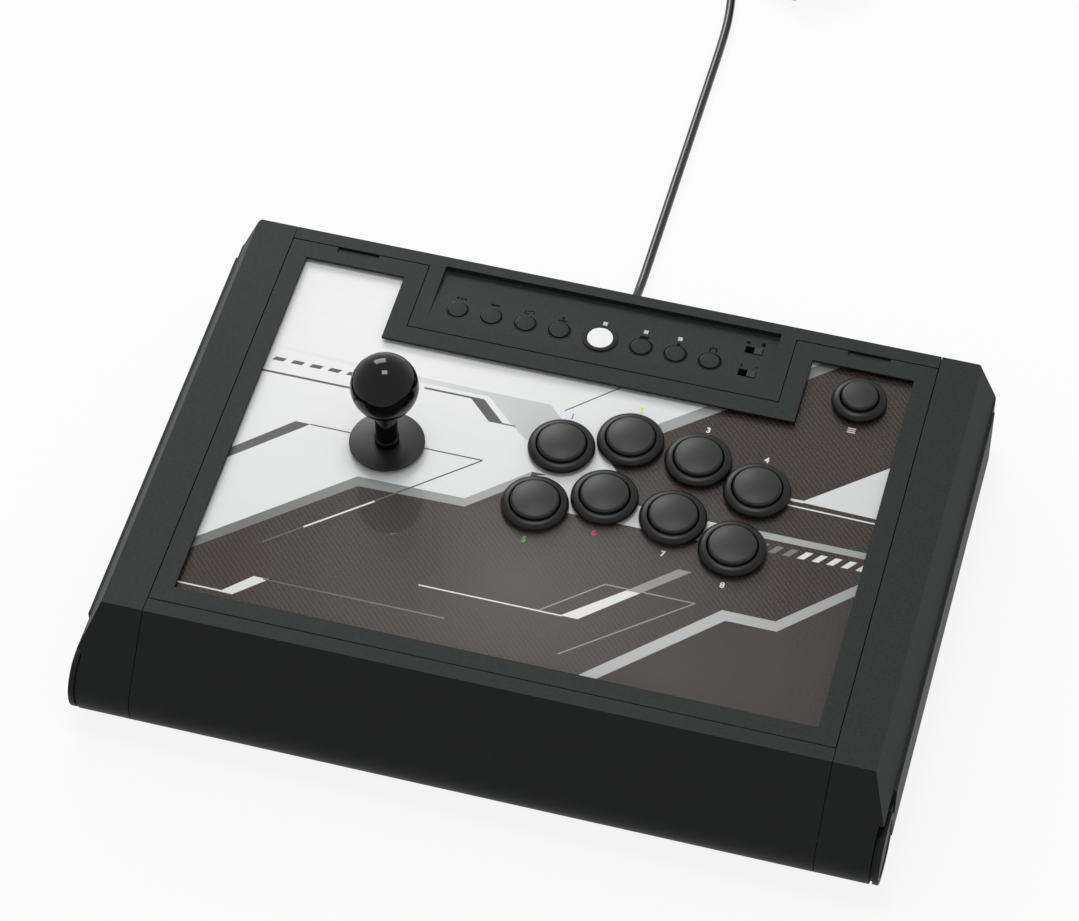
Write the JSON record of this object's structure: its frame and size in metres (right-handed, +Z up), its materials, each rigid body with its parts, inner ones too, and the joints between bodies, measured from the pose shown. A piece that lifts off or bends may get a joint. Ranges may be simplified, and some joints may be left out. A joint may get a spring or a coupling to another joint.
{
  "type": "arcade joystick controller",
  "caption": "Flat arcade controller with a ball-top lever, round push buttons and a strip of small controls on a case whose lid swings up.",
  "frame": {"origin": "centre of the footprint on the table, midway between the two hinge caps and between the front roll and the rear wall", "axes": "+X to the user's right, +Y to the rear, +Z up"},
  "size_m": [0.414, 0.6712, 0.125],
  "materials": {
    "case": "fine textured charcoal moulding",
    "gloss": "gloss black",
    "cap": "satin black button plastic",
    "steel": "zinc plated steel",
    "board": "green circuit board",
    "inner": "black inner plastic",
    "natural": "natural white acetal",
    "rubber": "black rubber",
    "clear": "clear acrylic",
    "print": "printed geometric sheet",
    "light": "frosted light window",
    "white_cap": "gloss white cap"
  },
  "bodies": {
    "base": {"base_tray": "case", "rubber_feet": "rubber", "hinge_caps": "case", "hinge_pins": "steel", "latch_springs": "steel", "main_board": "board", "cord_gland": "rubber", "cord": "rubber", "cord_coil": "rubber", "usb_plug": "rubber", "cord_tie": "rubber"},
    "lid": {"lid_shell": "case", "left_cheek": "case", "right_cheek": "case", "bezel": "case", "clear_cover": "clear", "art_sheet": "print", "steel_panel": "steel", "panel_screws": "steel", "control_board": "board", "status_lights": "light", "lever_plate": "steel", "lever_housing": "inner", "lever_gate": "inner", "lever_switches": "inner", "play_housings": "cap", "menu_housing": "cap", "button_switches": "inner"},
    "left_latch": {"left_latch": "cap"},
    "right_latch": {"right_latch": "cap"},
    "pivot": {"lever_pivot": "natural"},
    "lever": {"lever_shaft": "steel", "shaft_sleeve": "gloss", "ball_top": "gloss", "spring_seat": "natural", "lever_spring": "steel", "lever_actuator": "natural", "lever_clip": "steel"},
    "lower_washer": {"lower_washer": "cap"},
    "dust_washer": {"dust_washer": "cap"},
    "play_button_1": {"play_button_1": "cap"},
    "play_button_2": {"play_button_2": "cap"},
    "play_button_3": {"play_button_3": "cap"},
    "play_button_4": {"play_button_4": "cap"},
    "play_button_5": {"play_button_5": "cap"},
    "play_button_6": {"play_button_6": "cap"},
    "play_button_7": {"play_button_7": "cap"},
    "play_button_8": {"play_button_8": "cap"},
    "menu_button": {"menu_button": "cap"},
    "small_button_1": {"small_button_1": "cap"},
    "small_button_2": {"small_button_2": "cap"},
    "small_button_3": {"small_button_3": "cap"},
    "small_button_4": {"small_button_4": "cap"},
    "home_button": {"home_button": "white_cap"},
    "small_button_5": {"small_button_5": "cap"},
    "small_button_6": {"small_button_6": "cap"},
    "small_button_7": {"small_button_7": "cap"},
    "lock_switch": {"lock_switch": "cap"},
    "mode_switch": {"mode_switch": "cap"}
  },
  "joints": [
    {"name": "lid_hinge", "type": "hinge", "parent": "base", "child": "lid", "pos_m": [0, -0.1296, 0.0201], "axis": [1, 0, 0], "range_deg": [0, 60]},
    {"name": "left_latch_push", "type": "slide", "parent": "base", "child": "left_latch", "axis": [0, -1, 0], "range_m": [0, 0.003], "stiffness_N_per_m": 400, "springref_m": -0.002, "deforming": ["latch_springs"]},
    {"name": "right_latch_push", "type": "slide", "parent": "base", "child": "right_latch", "axis": [0, -1, 0], "range_m": [0, 0.003], "stiffness_N_per_m": 400, "springref_m": -0.002, "deforming": ["latch_springs"]},
    {"name": "lever_forward_back", "type": "hinge", "parent": "lid", "child": "pivot", "pos_m": [-0.0881, 0.01875, 0.049], "axis": [1, 0, 0], "range_deg": [-8.5, 8.5], "stiffness_Nm_per_rad": 0.8},
    {"name": "lever_left_right", "type": "hinge", "parent": "pivot", "child": "lever", "pos_m": [-0.0881, 0.01875, 0.049], "axis": [0, 1, 0], "range_deg": [-8.5, 8.5], "stiffness_Nm_per_rad": 0.8, "deforming": ["lever_spring"]},
    {"name": "washer_forward_back", "type": "slide", "parent": "lid", "child": "lower_washer", "axis": [0, 1, 0], "range_m": [-0.0022, 0.0022]},
    {"name": "washer_left_right", "type": "slide", "parent": "lower_washer", "child": "dust_washer", "axis": [1, 0, 0], "range_m": [-0.0022, 0.0022]},
    {"name": "play_button_1_press", "type": "slide", "parent": "lid", "child": "play_button_1", "axis": [0, 0, -1], "range_m": [0, 0.003], "stiffness_N_per_m": 150, "springref_m": -0.002},
    {"name": "play_button_2_press", "type": "slide", "parent": "lid", "child": "play_button_2", "axis": [0, 0, -1], "range_m": [0, 0.003], "stiffness_N_per_m": 150, "springref_m": -0.002},
    {"name": "play_button_3_press", "type": "slide", "parent": "lid", "child": "play_button_3", "axis": [0, 0, -1], "range_m": [0, 0.003], "stiffness_N_per_m": 150, "springref_m": -0.002},
    {"name": "play_button_4_press", "type": "slide", "parent": "lid", "child": "play_button_4", "axis": [0, 0, -1], "range_m": [0, 0.003], "stiffness_N_per_m": 150, "springref_m": -0.002},
    {"name": "play_button_5_press", "type": "slide", "parent": "lid", "child": "play_button_5", "axis": [0, 0, -1], "range_m": [0, 0.003], "stiffness_N_per_m": 150, "springref_m": -0.002},
    {"name": "play_button_6_press", "type": "slide", "parent": "lid", "child": "play_button_6", "axis": [0, 0, -1], "range_m": [0, 0.003], "stiffness_N_per_m": 150, "springref_m": -0.002},
    {"name": "play_button_7_press", "type": "slide", "parent": "lid", "child": "play_button_7", "axis": [0, 0, -1], "range_m": [0, 0.003], "stiffness_N_per_m": 150, "springref_m": -0.002},
    {"name": "play_button_8_press", "type": "slide", "parent": "lid", "child": "play_button_8", "axis": [0, 0, -1], "range_m": [0, 0.003], "stiffness_N_per_m": 150, "springref_m": -0.002},
    {"name": "menu_button_press", "type": "slide", "parent": "lid", "child": "menu_button", "axis": [0, 0, -1], "range_m": [0, 0.003], "stiffness_N_per_m": 150, "springref_m": -0.002},
    {"name": "small_button_1_press", "type": "slide", "parent": "lid", "child": "small_button_1", "axis": [0, 0, -1], "range_m": [0, 0.0008], "stiffness_N_per_m": 400, "springref_m": -0.001},
    {"name": "small_button_2_press", "type": "slide", "parent": "lid", "child": "small_button_2", "axis": [0, 0, -1], "range_m": [0, 0.0008], "stiffness_N_per_m": 400, "springref_m": -0.001},
    {"name": "small_button_3_press", "type": "slide", "parent": "lid", "child": "small_button_3", "axis": [0, 0, -1], "range_m": [0, 0.0008], "stiffness_N_per_m": 400, "springref_m": -0.001},
    {"name": "small_button_4_press", "type": "slide", "parent": "lid", "child": "small_button_4", "axis": [0, 0, -1], "range_m": [0, 0.0008], "stiffness_N_per_m": 400, "springref_m": -0.001},
    {"name": "home_button_press", "type": "slide", "parent": "lid", "child": "home_button", "axis": [0, 0, -1], "range_m": [0, 0.0008], "stiffness_N_per_m": 400, "springref_m": -0.001},
    {"name": "small_button_5_press", "type": "slide", "parent": "lid", "child": "small_button_5", "axis": [0, 0, -1], "range_m": [0, 0.0008], "stiffness_N_per_m": 400, "springref_m": -0.001},
    {"name": "small_button_6_press", "type": "slide", "parent": "lid", "child": "small_button_6", "axis": [0, 0, -1], "range_m": [0, 0.0008], "stiffness_N_per_m": 400, "springref_m": -0.001},
    {"name": "small_button_7_press", "type": "slide", "parent": "lid", "child": "small_button_7", "axis": [0, 0, -1], "range_m": [0, 0.0008], "stiffness_N_per_m": 400, "springref_m": -0.001},
    {"name": "lock_switch_slide", "type": "slide", "parent": "lid", "child": "lock_switch", "axis": [-1, 0, 0], "range_m": [0, 0.004]},
    {"name": "mode_switch_slide", "type": "slide", "parent": "lid", "child": "mode_switch", "axis": [-1, 0, 0], "range_m": [0, 0.004]}
  ],
  "couplings": [
    {"joint": "washer_forward_back", "follows": "lever_forward_back", "m_per_rad": -0.0144},
    {"joint": "washer_left_right", "follows": "lever_left_right", "m_per_rad": 0.0144}
  ]
}
